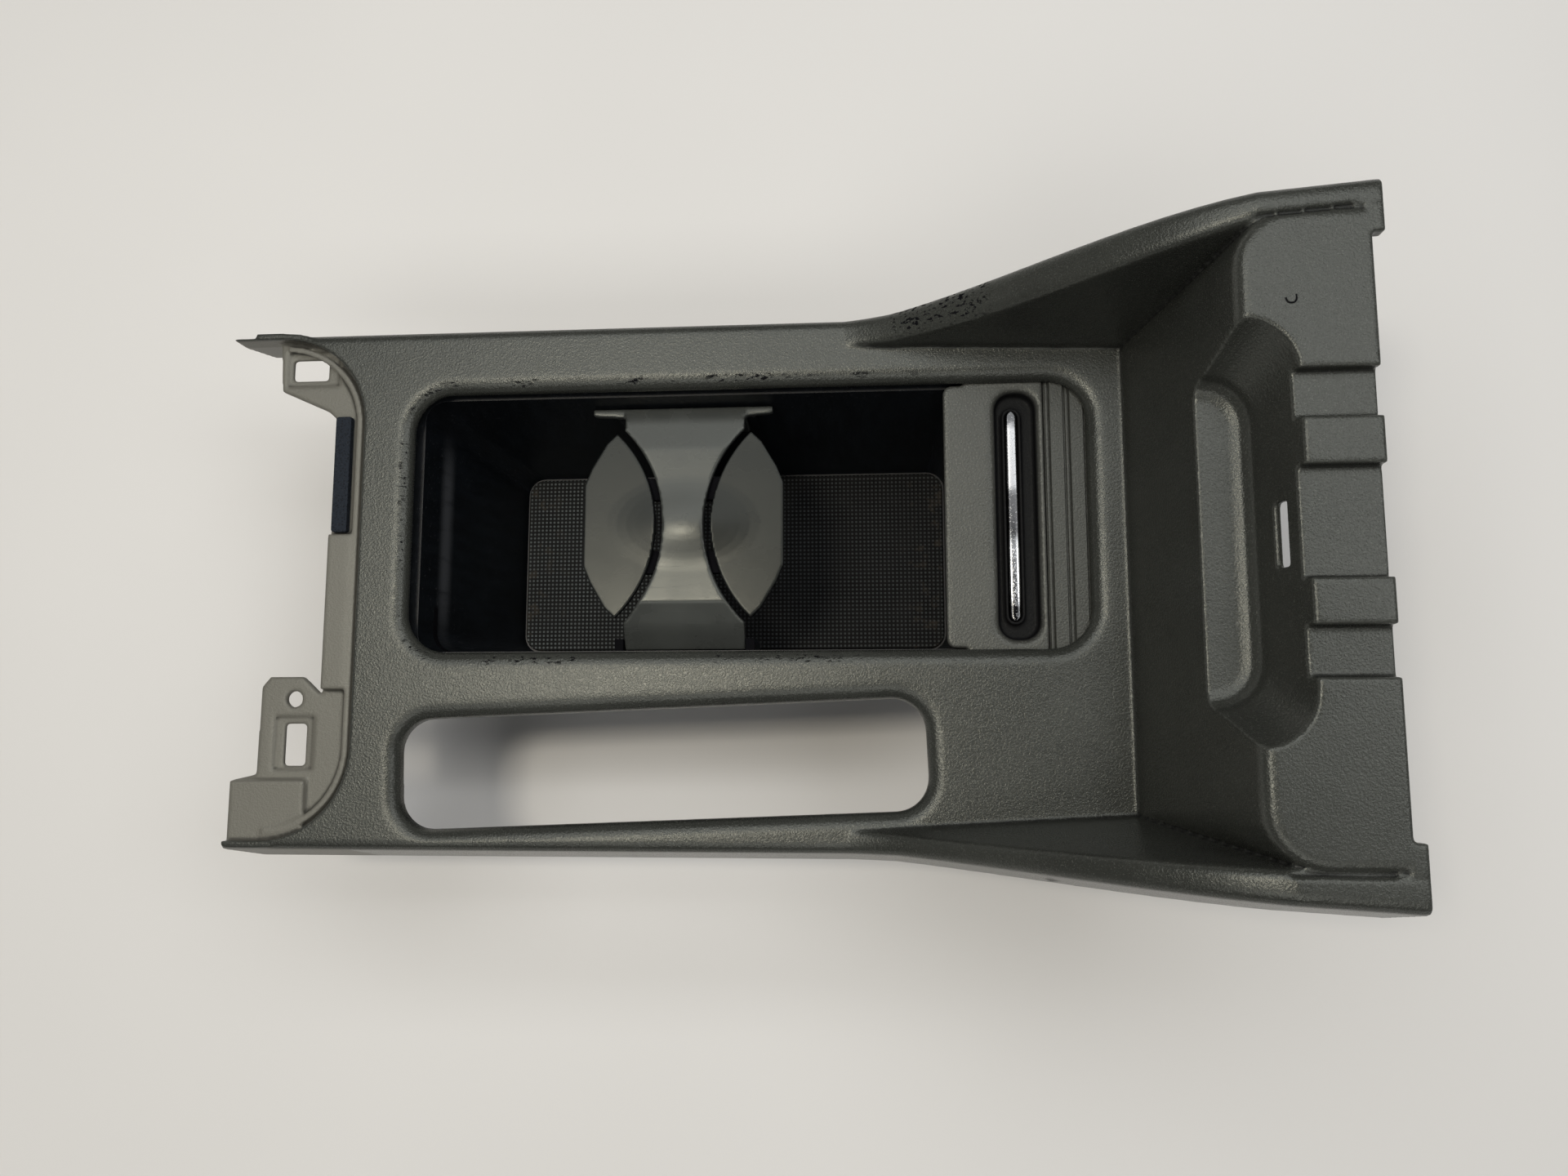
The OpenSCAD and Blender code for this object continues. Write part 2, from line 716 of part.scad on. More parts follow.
clip_t = 0.5;
clip_gap = 0.1;
clip_w = 8;
module panel_clips() {
    slot = clip_post_t + 2 * clip_gap;
    color("#8c8f92")
    clip_places() difference() {
        translate([-clip_w / 2, -slot / 2 - clip_t, -clip_gap - clip_t])
            cube([clip_w, slot + 2 * clip_t, clip_post_drop - 3.6]);
        translate([-clip_w / 2 - 1, -slot / 2, -clip_gap]) cube([clip_w + 2, slot, clip_post_drop]);
    }
}

// Plan of the divider: a strip with a round bite out of each side
module divider_plan() {
    difference() {
        translate([divider_x - divider_end_w / 2, well_low]) square([divider_end_w, well_high - well_low]);
        for (side = [-1, 1])
            translate([divider_x + side * (waist_w / 2 + waist_r), divider_mid]) circle(waist_r, $fn = 96);
    }
}

// Low oval dome over the middle of the divider and its flaps
module dome(h) {
    skin([
        for (t = [1.06, 1, 0.87, 0.74, 0.61, 0.48, 0.35, 0.22, 0.08])
        [for (a = [0:10:350]) [
            divider_x + dome_a * min(t, 1) * cos(a), divider_mid + dome_b * min(t, 1) * sin(a),
            deck + divider_top + (t > 1 ? -0.4 : h * (1 + cos(180 * t)) / 2)
        ]]
    ]);
}

hinge_x = 4.6;
hinge_z = divider_top - divider_t - 3.4;
knuckle_r = 2.7;
knuckle_w = 8;
knuckle_y = 13;
lug_w = 3;
lug_gap = 0.3;

module hinge_cyl(side, r, y0, y1) {
    translate([divider_x + side * hinge_x, y0, deck + hinge_z])
        rotate([-90, 0, 0]) cylinder(r = r, h = y1 - y0);
}

// Reach of the divider from its middle to the well's walls at height z under the deck
function wall_t(z) = (track_floor - z) / (track_floor - floor_top);
function reach_high(z) = mix(well_high, floor_high, wall_t(z)) - divider_fit - divider_mid;
function reach_low(z) = divider_mid - mix(well_low, floor_low, wall_t(z)) - divider_fit;

module divider_bridge() {
    shoulder = divider_top - 8;
    shoulder_high = divider_top - 2.5;
    foot = shoulder - 12;
    flat = 27;
    web = divider_t;
    lug_ys = [for (s = [-1, 1]) divider_mid + s * (knuckle_y + knuckle_w / 2 + lug_gap + lug_w / 2)];
    color(satin_grey)
    difference() {
        union() {
            intersection() {
                translate([divider_x - divider_end_w / 2, divider_mid, deck]) rotate([90, 0, 90])
                    linear_extrude(divider_end_w) polygon([
                        [-flat, divider_top], [-reach_low(shoulder), shoulder], [-reach_low(foot), foot],
                        [-reach_low(foot) + web, foot], [-reach_low(shoulder) + web, shoulder - web + 0.6],
                        [-flat + 0.4, divider_top - web], [flat - 0.4, divider_top - web],
                        [reach_high(shoulder_high) - web, shoulder_high - web + 0.3],
                        [reach_high(foot) - web, foot], [reach_high(foot), foot],
                        [reach_high(shoulder_high) - 0.6, shoulder_high], [flat, divider_top]
                    ]);
                translate([0, 0, deck + foot - 1]) linear_extrude(40) divider_plan();
            }
            intersection() {
                dome(dome_h);
                translate([0, 0, deck + divider_top - 2]) linear_extrude(6) divider_plan();
            }
            // Ears that lie on the posts at the passenger side of the well
            translate([divider_x, divider_mid + reach_high(ear_z), deck + ear_z]) linear_extrude(ear_h)
                polygon([
                    [-33, 0], [31, 0], [31, -web], [22, -web - 0.8],
                    [18.5, -8], [-18.5, -8], [-22, -web - 0.8], [-33, -web]
                ]);
            // Hinge lugs under the waist
            for (side = [-1, 1], y = lug_ys) {
                hinge_cyl(side, knuckle_r, y - lug_w / 2, y + lug_w / 2);
                translate([divider_x + side * hinge_x - knuckle_r + 0.7, y - lug_w / 2, deck + hinge_z])
                    cube([2 * knuckle_r - 1.4, lug_w, divider_top - divider_t / 2 - hinge_z]);
            }
        }
        for (side = [-1, 1]) hinge_cyl(side, pin_d / 2 + 0.02, divider_mid - 30, divider_mid + 30);
    }
}

// Plan of a flap: side -1 is the front one, side 1 the rear one
module flap_plan(side) {
    arc_x = divider_x + side * (waist_w / 2 + waist_r);
    inner = waist_w / 2 + flap_gap;
    intersection() {
        translate([arc_x, divider_mid]) circle(waist_r - flap_gap, $fn = 96);
        translate([divider_x, divider_mid]) polygon([
            for (p = [
                [inner - 1, -flap_half], [inner + 14, -flap_half], [inner + 17.6, -flap_half + 3.4],
                [inner + flap_reach - 2.4, -flap_half * 0.62], [inner + flap_reach, -flap_half * 0.44],
                [inner + flap_reach, flap_half * 0.44], [inner + flap_reach - 2.4, flap_half * 0.62],
                [inner + 17.6, flap_half - 3.4], [inner + 14, flap_half], [inner - 1, flap_half]
            ]) [side * p[0], p[1]]
        ]);
    }
}

module flap(side) {
    knuckle_x = divider_x + side * (waist_w / 2 + flap_gap + 5);
    color(satin_grey)
    difference() {
        union() {
            translate([0, 0, deck + divider_top - divider_t]) linear_extrude(divider_t) flap_plan(side);
            intersection() {
                dome(dome_h);
                translate([0, 0, deck + divider_top - 2]) linear_extrude(6) flap_plan(side);
            }
            for (y = [divider_mid - knuckle_y, divider_mid + knuckle_y]) {
                hinge_cyl(side, knuckle_r, y - knuckle_w / 2, y + knuckle_w / 2);
                hull() {
                    hinge_cyl(side, knuckle_r - 0.6, y - knuckle_w / 2, y + knuckle_w / 2, $fn = 24);
                    translate([knuckle_x - 2, y - knuckle_w / 2, deck + divider_top - divider_t - 1])
                        cube([4, knuckle_w, 1.5]);
                }
            }
        }
        hinge_cyl(side, pin_d / 2 + 0.05, divider_mid - 30, divider_mid + 30);
    }
}

module flap_front() { flap(-1); }
module flap_rear() { flap(1); }

module flap_pins() {
    reach = knuckle_y + knuckle_w / 2 + lug_gap + lug_w;
    color("#a9abad") for (side = [-1, 1]) hinge_cyl(side, pin_d / 2, divider_mid - reach, divider_mid + reach);
}

// Wire of round section along a path of points, all in planes that turn slowly
module wire(path, r, sides = 8) {
    m = len(path);
    skin([
        for (i = [0:m - 1])
        let (
            d = path[min(m - 1, i + 1)] - path[max(0, i - 1)], t = d / norm(d),
            u0 = abs(t[1]) > 0.9 ? [1, 0, 0] : [0, 1, 0], u1 = u0 - (u0 * t) * t,
            u = u1 / norm(u1), v = cross(t, u)
        )
        [for (k = [0:sides - 1]) let (a = 360 * k / sides) path[i] + r * (cos(a) * u + sin(a) * v)]
    ]);
}

spring_turns = 4;
spring_wire = 0.35;
spring_r = 1.9;

// Torsion spring round a hinge pin: one leg under the divider, one under the flap
module flap_spring(side) {
    pitch = 2.6 * spring_wire;
    steps = 12 * spring_turns + 4;
    leg_z = divider_top - divider_t - hinge_z - spring_wire - 0.15;
    color("#b4b6b8")
    translate([divider_x + side * hinge_x, divider_mid + side * 5 - spring_turns * pitch / 2, deck + hinge_z])
        wire(concat(
            [[-side * 5, 0, leg_z], [-side * 3, 0, leg_z - 0.1]],
            [
                for (i = [0:steps]) let (a = 30 * i)
                [side * spring_r * sin(a), pitch * i / 12, spring_r * cos(a)]
            ],
            [[side * (spring_r * sin(120) + 7), pitch * steps / 12, leg_z]]
        ), spring_wire);
}

module spring_front() { flap_spring(-1); }
module spring_rear() { flap_spring(1); }

strip_w = 3.8;
strip_len = 71;
strip_x = handle_front + 22.8;

plinth_w = 1.3;

// Plan of the strip with its round ends, grown by g
module strip_plan(g) {
    for (s = [-1, 1]) translate([strip_x, open_y + s * (strip_len - strip_w) / 2]) circle(d = strip_w + 2 * g);
    translate([strip_x - strip_w / 2 - g, open_y - strip_len / 2 + strip_w / 2])
        square([strip_w + 2 * g, strip_len - strip_w]);
}

module shutter_handle() {
    top = shutter_mid + slat_t / 2;
    low = shutter_mid - slat_t / 2;
    floor_z = top - recess_depth - recess_wall;
    recess_half = recess_w / 2;
    edge = 0.3;
    color(panel_grey)
    difference() {
        union() {
            translate([0, 0, deck + low]) linear_extrude(slat_t)
                rounded_rect(handle_front, open_low + edge, handle_rear - 0.2, open_high - edge, 3);
            translate([handle_front + 7, open_y - shutter_w / 2, deck + low])
                cube([handle_len - 7.2, shutter_w, slat_t]);
            translate([recess_front - recess_wall, open_y - recess_half - recess_wall, deck + floor_z])
                cube([recess_rear - recess_front + 2 * recess_wall, 2 * (recess_half + recess_wall), slat_t]);
        }
        difference() {
            translate([0, 0, deck + top])
                rolled_cut(
                    recess_front, open_y - recess_half, recess_rear, open_y + recess_half,
                    5.5, 3, recess_depth, 2.4
                );
            // Plinth that frames the strip
            translate([0, 0, deck + top - recess_depth - 1]) linear_extrude(recess_depth - 0.8) difference() {
                strip_plan(plinth_w);
                strip_plan(0.25);
            }
        }
    }
}

module handle_strip() {
    base = deck + shutter_mid + slat_t / 2 - recess_depth;
    color("#c9cbcd") translate([0, 0, base]) linear_extrude(recess_depth - 1.5) strip_plan(0);
}

// A run of n slats on a common web, first slat number i
module slats(i, n) {
    web = 0.8;
    end_gap = 0.1;
    c = 0.5;
    line = 0.45;
    color(panel_grey)
    translate([slat_start(i)[0], open_y + shutter_w / 2, deck + slat_start(i)[1]]) rotate([0, slat_angle(i), 0])
        rotate([90, 0, 0]) linear_extrude(shutter_w) {
            translate([end_gap, -web / 2]) square([n * slat_pitch - 2 * end_gap, web]);
            for (k = [0:n - 1]) translate([k * slat_pitch, 0]) {
                polygon([
                    [groove, -slat_t / 2], [slat_pitch - line - end_gap, -slat_t / 2],
                    [slat_pitch - end_gap, slat_t / 2 - c], [slat_pitch - end_gap - c / 2, slat_t / 2],
                    [groove + c / 2, slat_t / 2], [groove, slat_t / 2 - c]
                ]);
                // Bead of the flexible joint
                translate([line, -slat_t / 3]) square([groove - 2 * line, 2 * slat_t / 3]);
            }
        }
}

first_rear = lead_count + bends;
second_bend = first_rear + rear_count;
module lead_slats() { slats(0, lead_count); }
module bend_slat_1() { slats(lead_count, 1); }
module bend_slat_2() { slats(lead_count + 1, 1); }
module bend_slat_3() { slats(lead_count + 2, 1); }
module rear_slats() { slats(first_rear, rear_count); }
module bend_slat_4() { slats(second_bend, 1); }
module bend_slat_5() { slats(second_bend + 1, 1); }
module bend_slat_6() { slats(second_bend + 2, 1); }
module under_slats() { slats(second_bend + bends, under_count); }

console_panel();
cup_box();
track_cover();
box_screws();
floor_mat();
foam_strip();
panel_clips();
divider_bridge();
flap_front();
flap_rear();
flap_pins();
spring_front();
spring_rear();
shutter_handle();
handle_strip();
lead_slats();
bend_slat_1();
bend_slat_2();
bend_slat_3();
rear_slats();
bend_slat_4();
bend_slat_5();
bend_slat_6();
under_slats();
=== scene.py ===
"""Dressed model of a car console insert with a cup holder.

It is laid out as an add-on: settings hold the sizes and colours, each operator makes or
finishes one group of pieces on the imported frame, and main() runs them in order.
"""

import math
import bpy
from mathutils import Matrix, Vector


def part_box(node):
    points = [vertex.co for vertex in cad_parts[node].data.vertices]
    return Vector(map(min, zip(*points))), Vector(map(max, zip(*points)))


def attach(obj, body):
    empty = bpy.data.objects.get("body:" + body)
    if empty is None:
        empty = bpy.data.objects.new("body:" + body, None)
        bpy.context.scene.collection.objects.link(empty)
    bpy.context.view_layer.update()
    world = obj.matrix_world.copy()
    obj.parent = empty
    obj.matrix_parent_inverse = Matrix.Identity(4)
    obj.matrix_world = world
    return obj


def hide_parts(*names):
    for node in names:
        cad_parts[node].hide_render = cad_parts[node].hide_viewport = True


bl_info = {
    "name": "Console Cup Holder",
    "version": (1, 0, 0),
    "blender": (4, 5, 0),
    "location": "View3D > Sidebar > Cup Holder",
    "description": "Finishes the moulded console panel, its cup box, flaps and roller shutter",
    "category": "Object",
}

import bmesh
import bpy
import numpy as np
from bpy.props import FloatProperty, FloatVectorProperty, IntProperty, PointerProperty
from mathutils import Matrix, Vector

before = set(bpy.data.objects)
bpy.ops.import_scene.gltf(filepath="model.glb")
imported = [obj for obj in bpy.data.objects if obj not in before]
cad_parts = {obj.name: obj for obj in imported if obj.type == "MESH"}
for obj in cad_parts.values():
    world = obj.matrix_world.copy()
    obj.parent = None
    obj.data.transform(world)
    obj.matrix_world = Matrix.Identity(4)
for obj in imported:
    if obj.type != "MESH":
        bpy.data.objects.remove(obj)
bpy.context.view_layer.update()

# Places on the panel, in metres; rectangles in plan are x0, x1, y0, y1
DECK = 0.09008  # height of the flat deck
OPENING = (-0.1155, 0.114, -0.0244, 0.0654)  # outline of the rim round the opening
OPENING_CORNER = 0.015
CHIPPED_RAIL = (0.052, 0.078, 0.081, 0.090)  # worn patch on the upper rail
SCRATCH = (0.1566, 0.0642, 0.0014)  # hooked scratch on the rear block: x, y, radius

WARM = (0.97, 1.0, 0.92)  # tint of the gloss on the grey plastics
MATT_BLACK = (0.006, 0.006, 0.007, 1.0)
COOL_LIGHT = (0.985, 0.99, 1.0)
NEUTRAL_LIGHT = (1.0, 0.985, 0.96)
WARM_LIGHT = (1.0, 0.92, 0.78)
POINTINESS = 7  # output of the Geometry node; above 0.5 on outer edges, below it in inner ones

LAMP_HEIGHT = 1.29
LAMPS = (  # name, place in plan, size, share of the lamps' power, colour
    ("far_ceiling", (0.10, 0.62), (1.7, 0.76), 1.0, COOL_LIGHT),
    ("near_ceiling", (0.0, -0.75), (1.5, 0.5), 0.9, NEUTRAL_LIGHT),
    ("left_ceiling", (-0.50, 0.0), (0.5, 0.46), 1.0, NEUTRAL_LIGHT),
    ("right_ceiling", (0.98, 0.13), (0.9, 0.54), 1.15, COOL_LIGHT),
    ("warm_lamp", (-0.28, 0.04), (0.24, 0.14), 17.0, WARM_LIGHT),
)
FLOOR_HALF = 6.0
PLUMB = (119.0, 190.0, 1442.0)  # straight down: pixels right of and below the middle, focal length


# ---------------------------------------------------------------- settings


def tone(name, note, default):
    """A colour setting."""
    return FloatVectorProperty(name=name, description=note, default=default,
                               subtype="COLOR", size=3, min=0, max=1)


def length(name, note, default, low, high):
    """A length setting, in metres."""
    return FloatProperty(name=name, description=note, default=default,
                         unit="LENGTH", min=low, max=high)


class PanelSettings(bpy.types.PropertyGroup):
    """Sizes and colours of the moulded panel."""

    colour: tone("Panel", "Grey of the moulded panel", (0.029, 0.0305, 0.0270))
    flange: tone("Flange", "Paler grey of the ungrained front flange", (0.128, 0.124, 0.106))
    voxel: length("Edge detail", "Cell size used to round the moulded edges", 0.0006, 0.0004, 0.003)
    rounds: IntProperty(name="Edge softness", description="Smoothing rounds over the moulded edges",
                        default=5, min=0, max=30)
    grain: length("Grain", "Size of the stipple in the surface", 0.0007, 0.0002, 0.003)
    wear: FloatProperty(name="Wear", description="How much of the rims is nicked",
                        default=1.0, min=0, max=2)


class CupSettings(bpy.types.PropertyGroup):
    """Sizes and colours of the box, its mat, the divider and the flaps."""

    box: tone("Box", "Black of the cup box", (0.0035, 0.0048, 0.0065))
    mat: tone("Mat", "Black of the rubber mat", (0.0075, 0.0085, 0.0085))
    dot_pitch: length("Dot pitch", "Distance between the dots of the mat", 0.0016, 0.0008, 0.004)
    bridge: tone("Divider", "Grey of the divider", (0.040, 0.043, 0.040))
    flap: tone("Flaps", "Grey of the sprung flaps", (0.014, 0.0155, 0.0145))
    foam: tone("Foam", "Colour of the foam strip", (0.010, 0.013, 0.018))


class ShutterSettings(bpy.types.PropertyGroup):
    """Colours of the roller shutter and of the steel parts."""

    handle: tone("Handle", "Grey of the handle", (0.048, 0.049, 0.044))
    slat: tone("Slats", "Grey of the slats", (0.036, 0.037, 0.033))
    strip: tone("Strip", "Colour of the bright strip", (0.72, 0.73, 0.74))
    steel: tone("Steel", "Colour of screws, pins, springs and clips", (0.42, 0.42, 0.41))


class StageSettings(bpy.types.PropertyGroup):
    """Camera, lamps and floor."""

    eye: FloatVectorProperty(name="Camera", description="Where the camera stands",
                             subtype="TRANSLATION", size=3, default=(0.045, -0.055, 0.47508))
    lens: FloatProperty(name="Lens", description="Focal length in millimetres",
                        default=27.04, min=5, max=200)
    floor: tone("Floor", "Colour of the paper it lies on", (0.745, 0.737, 0.718))
    lamp: FloatProperty(name="Lamps", description="Power of the ceiling lamps for each square metre",
                        unit="POWER", default=8.0, min=0)
    sky: FloatProperty(name="Sky", description="Strength of the light from all around",
                       default=0.04, min=0)
    far: FloatProperty(name="Far floor",
                       description="How pale the far floor looks, as a share of its colour",
                       default=0.87, min=0, max=1)


# ---------------------------------------------------------------- shaders


class Wire:
    """A socket of a shader tree; arithmetic on it adds Math nodes."""

    def __init__(self, shade, socket):
        self.shade, self.socket = shade, socket

    def _math(self, operation, *others):
        return self.shade.node("ShaderNodeMath", {"operation": operation}, [self, *others])

    def __add__(self, other):
        return self._math("ADD", other)

    __radd__ = __add__

    def __sub__(self, other):
        return self._math("SUBTRACT", other)

    def __rsub__(self, other):
        return self.shade.node("ShaderNodeMath", {"operation": "SUBTRACT"}, [other, self])

    def __mul__(self, other):
        return self._math("MULTIPLY", other)

    __rmul__ = __mul__

    def __truediv__(self, other):
        return self._math("DIVIDE", other)

    def low(self, other):
        return self._math("MINIMUM", other)

    def high(self, other):
        return self._math("MAXIMUM", other)

    def size(self):
        return self._math("ABSOLUTE")

    def sine(self):
        return self._math("SINE")

    def reach(self, other):
        """Length of the vector that has these two components."""
        return (self * self + other * other)._math("SQRT")

    def ramp(self, a, b, c=0.0, d=1.0):
        """Smooth step of the value from c at a to d at b."""
        return self.shade.node(
            "ShaderNodeMapRange", {"interpolation_type": "SMOOTHSTEP"},
            {"Value": self, "From Min": a, "From Max": b, "To Min": c, "To Max": d})

    def band(self, a, b, c, d):
        """Smooth rise from 0 to 1 between a and b, and back to 0 between c and d."""
        return self.ramp(a, b) * self.ramp(d, c)


class Shade:
    """Builds one procedural material round a Principled shader, or the nodes of a given world."""

    def __init__(self, name, world=None):
        self.owner = world or bpy.data.materials.new(name)
        self.owner.use_nodes = True
        self.tree = self.owner.node_tree
        self.tree.nodes.clear()
        place = self.tree.nodes.new("ShaderNodeTexCoord").outputs["Object"]
        self.place = Wire(self, place)
        parts = self.tree.nodes.new("ShaderNodeSeparateXYZ")
        self.tree.links.new(place, parts.inputs[0])
        self.x, self.y, self.z = (Wire(self, s) for s in parts.outputs)

    def node(self, kind, settings=None, inputs=(), out=0):
        """Adds a node: its settings first, then the values or links of its sockets."""
        made = self.tree.nodes.new(kind)
        for key, value in (settings or {}).items():
            setattr(made, key, value)
        pairs = inputs.items() if isinstance(inputs, dict) else enumerate(inputs)
        for key, value in pairs:
            if isinstance(value, Wire):
                self.tree.links.new(value.socket, made.inputs[key])
            elif value is not None:
                made.inputs[key].default_value = value
        return Wire(self, made.outputs[out])

    def noise(self, size, detail=3.0, rough=0.5, stretch=None):
        """Noise with blobs about size metres across; a stretch below 1 draws them out along x, y or z."""
        vector = self.place
        if stretch:
            vector = self.node("ShaderNodeMapping", {"vector_type": "POINT"}, {0: vector, 3: stretch})
        return self.node(
            "ShaderNodeTexNoise", {"noise_dimensions": "3D"},
            {"Vector": vector, "Scale": 1.0 / size, "Detail": detail, "Roughness": rough})

    def cells(self, size):
        """Distance to the nearest cell point, for cells about size metres across."""
        return self.node("ShaderNodeTexVoronoi", {"feature": "F1"},
                         {"Vector": self.place, "Scale": 1.0 / size})

    def mix(self, a, b, share):
        """Colour a to colour b by share."""
        a, b = (c if isinstance(c, Wire) else (*c, 1.0) for c in (a, b))
        return self.node("ShaderNodeMix", {"data_type": "RGBA"}, {0: share, 6: a, 7: b}, out=2)

    def bump(self, height, depth):
        """Bump of a height from 0 to 1 that stands for depth metres."""
        return self.node("ShaderNodeBump", None,
                         {"Strength": 1.0, "Distance": depth, "Height": height})

    def seen(self):
        """Three values that are 1 for rays from the camera, from gloss and through glass."""
        rays = ("Is Camera Ray", "Is Glossy Ray", "Is Transmission Ray")
        return [self.node("ShaderNodeLightPath", out=ray) for ray in rays]

    def finish(self, share=None, layer=None, **sockets):
        """Closes the material; share says how much of a layer, by itself matt black, lies over it."""
        names = {"colour": "Base Color", "rough": "Roughness", "metal": "Metallic",
                 "normal": "Normal", "specular": "Specular IOR Level", "specular_tint": "Specular Tint"}
        values = {names[k]: (*v, 1.0) if isinstance(v, tuple) else v for k, v in sockets.items()}
        shader = self.node("ShaderNodeBsdfPrincipled", None, values)
        if share:
            layer = layer or self.node("ShaderNodeBsdfDiffuse", None, {0: MATT_BLACK})
            shader = self.node("ShaderNodeMixShader", None, [share, shader, layer])
        out = self.tree.nodes.new("ShaderNodeOutputMaterial")
        self.tree.links.new(shader.socket, out.inputs[0])
        return self.owner


def tint(colour, k):
    """A colour made k times as bright."""
    return tuple(min(1.0, c * k) for c in colour)


def box_mask(s, x0, x1, y0, y1, soft):
    """1 inside a rectangle in plan, falling to 0 over soft metres outside it."""
    dx = (s.x - (x0 + x1) / 2).size() - (x1 - x0) / 2
    dy = (s.y - (y0 + y1) / 2).size() - (y1 - y0) / 2
    return dx.high(dy).ramp(0.0, soft, 1.0, 0.0)


def ring_distance(s, x0, x1, y0, y1, r):
    """Distance in plan from the outline of a rounded rectangle, in metres."""
    dx = ((s.x - (x0 + x1) / 2).size() - ((x1 - x0) / 2 - r)).high(0.0)
    dy = ((s.y - (y0 + y1) / 2).size() - ((y1 - y0) / 2 - r)).high(0.0)
    return (dx.reach(dy) - r).size()


def scratch_mark(s, x, y, r):
    """A small U-shaped scratch in plan: half a ring of radius r, open to +y, and a tick on its right."""
    dx, dy = s.x - x, s.y - y
    ring = (dx.reach(dy) - r).size()
    arc = ring.ramp(0.00015, 0.00040, 1.0, 0.0) * dy.ramp(0.0003, 0.0)
    tick = (dx - r).size().ramp(0.00012, 0.00034, 1.0, 0.0) * dy.band(-0.0002, 0.0, 0.0009, 0.0012)
    return arc.high(tick)


def panel_wear(s):
    """Masks of where the panel is worn: beside the rim of the opening, and on the upper rail."""
    rim = ring_distance(s, *OPENING, OPENING_CORNER)
    near = rim.band(0.0012, 0.0022, 0.0036, 0.0050) * s.z.ramp(DECK - 0.004, DECK - 0.002)
    return near, box_mask(s, *CHIPPED_RAIL, 0.004) * s.z.ramp(DECK, DECK + 0.002)


def panel_plastic(settings):
    """Warm grey plastic with a stipple, speckles, a paler bare flange and nicked rims, with painted shade
    in its inner edges and a painted highlight on its outer ones.
    """
    s = Shade("panel_plastic")
    grain = s.noise(settings.grain, 2.0, 0.6).ramp(0.34, 0.70)
    fine = s.noise(settings.grain * 0.45, 1.0, 0.5)
    broad = s.noise(0.035, 3.0, 0.55)
    cloud = s.noise(0.008, 3.0, 0.6)
    # The flange is what lies in front of the deck and lower than it
    flange = s.x.ramp(-0.1312, -0.1326) * s.z.ramp(DECK - 0.0012, DECK - 0.0026)
    speckle = s.noise(0.00042, 1.0, 0.5).ramp(0.60, 0.72) * (1 - flange)
    colour = s.mix(tint(settings.colour, 0.90), tint(settings.colour, 1.12), broad.ramp(0.3, 0.7))
    colour = s.mix(colour, tint(settings.colour, 3.0), speckle * 0.7)
    colour = s.mix(colour, tint(settings.colour, 0.72), cloud.ramp(0.60, 0.78) * 0.25)
    colour = s.mix(colour, settings.flange, flange)
    # Nicks: short black chips, fewer towards the rear, and the hooked scratch
    near, upper = panel_wear(s)
    chips = s.noise(0.0011, 4.0, 0.62, stretch=(0.45, 1.0, 1.0)).ramp(0.550, 0.575)
    runs = s.noise(0.014, 2.0, 0.5).ramp(0.45, 0.58)
    nicks = (near * runs * (s.x.ramp(0.09, 0.02) * 0.9 + 0.1) + upper) * chips * settings.wear
    nicks = (nicks + scratch_mark(s, *SCRATCH) * s.z.ramp(0.12, 0.13)).low(1.0)
    # Polished rubs beside the chips
    smear = s.noise(0.006, 3.0, 0.6, stretch=(0.3, 1.0, 1.0)).ramp(0.42, 0.62)
    rub = (near + upper).low(1.0) * smear
    colour = s.mix(colour, tint(settings.colour, 1.9), rub * 0.2)
    # Edges: painted shade in the inner ones, a faint painted highlight on the outer ones
    point = s.node("ShaderNodeNewGeometry", out=POINTINESS)
    inner, outer = point.ramp(0.496, 0.462), point.ramp(0.512, 0.570)
    colour = s.mix(colour, tint(settings.colour, 1.9), outer * (1 - flange) * 0.5)
    # Pale dust
    dust = s.noise(0.0012, 2.0, 0.6).ramp(0.70, 0.76) * s.noise(0.02, 2.0, 0.5).ramp(0.5, 0.65)
    colour = s.mix(colour, (0.30, 0.29, 0.27), dust * 0.18)
    rough = (0.205 + broad * 0.08 + fine * 0.06) - rub * 0.06 + flange * 0.18 - outer * 0.04
    normal = s.bump(grain * 0.7 + fine * 0.5 - nicks * 0.6, 0.00006)
    # The matt black layer holds the nicks and the painted shade of the inner edges
    return s.finish(nicks.high(inner * 0.65), colour=colour, rough=rough, normal=normal,
                    specular=0.50, specular_tint=WARM)


def black_plastic(settings):
    """Black satin plastic of the box, with faint upright drag lines, light dust and a painted highlight
    across its front wall.
    """
    s = Shade("box_plastic")
    drag = s.noise(0.004, 3.0, 0.6, stretch=(1.0, 1.0, 0.12))
    dust = s.noise(0.0009, 2.0, 0.7).ramp(0.64, 0.70) * s.noise(0.03, 3.0, 0.5).ramp(0.42, 0.62)
    colour = s.mix(tint(settings.box, 0.8), tint(settings.box, 1.35), drag.ramp(0.35, 0.7))
    colour = s.mix(colour, (0.10, 0.10, 0.11), dust * 0.35)
    # Painted highlight: a pale line across the upper front wall
    line = s.z.band(0.0610, 0.0660, 0.0668, 0.0715) * s.y.band(-0.028, 0.004, 0.036, 0.060)
    painted_highlight = line * s.x.ramp(-0.104, -0.106) * drag.ramp(0.1, 0.5)
    colour = s.mix(colour, (0.058, 0.061, 0.066), painted_highlight)
    rough = 0.34 + drag * 0.16 + dust * 0.2
    normal = s.bump(drag * 0.6 + s.noise(0.0005, 2.0, 0.5) * 0.4, 0.00006)
    # The heads of the posts under the divider lie in its shadow
    heads = s.z.band(0.0690, 0.0700, 0.0715, 0.0725)
    posts = heads * s.y.ramp(-0.006, -0.008) * s.x.ramp(0.020, 0.015)
    return s.finish(posts, colour=colour, rough=rough, normal=normal, specular=0.4)


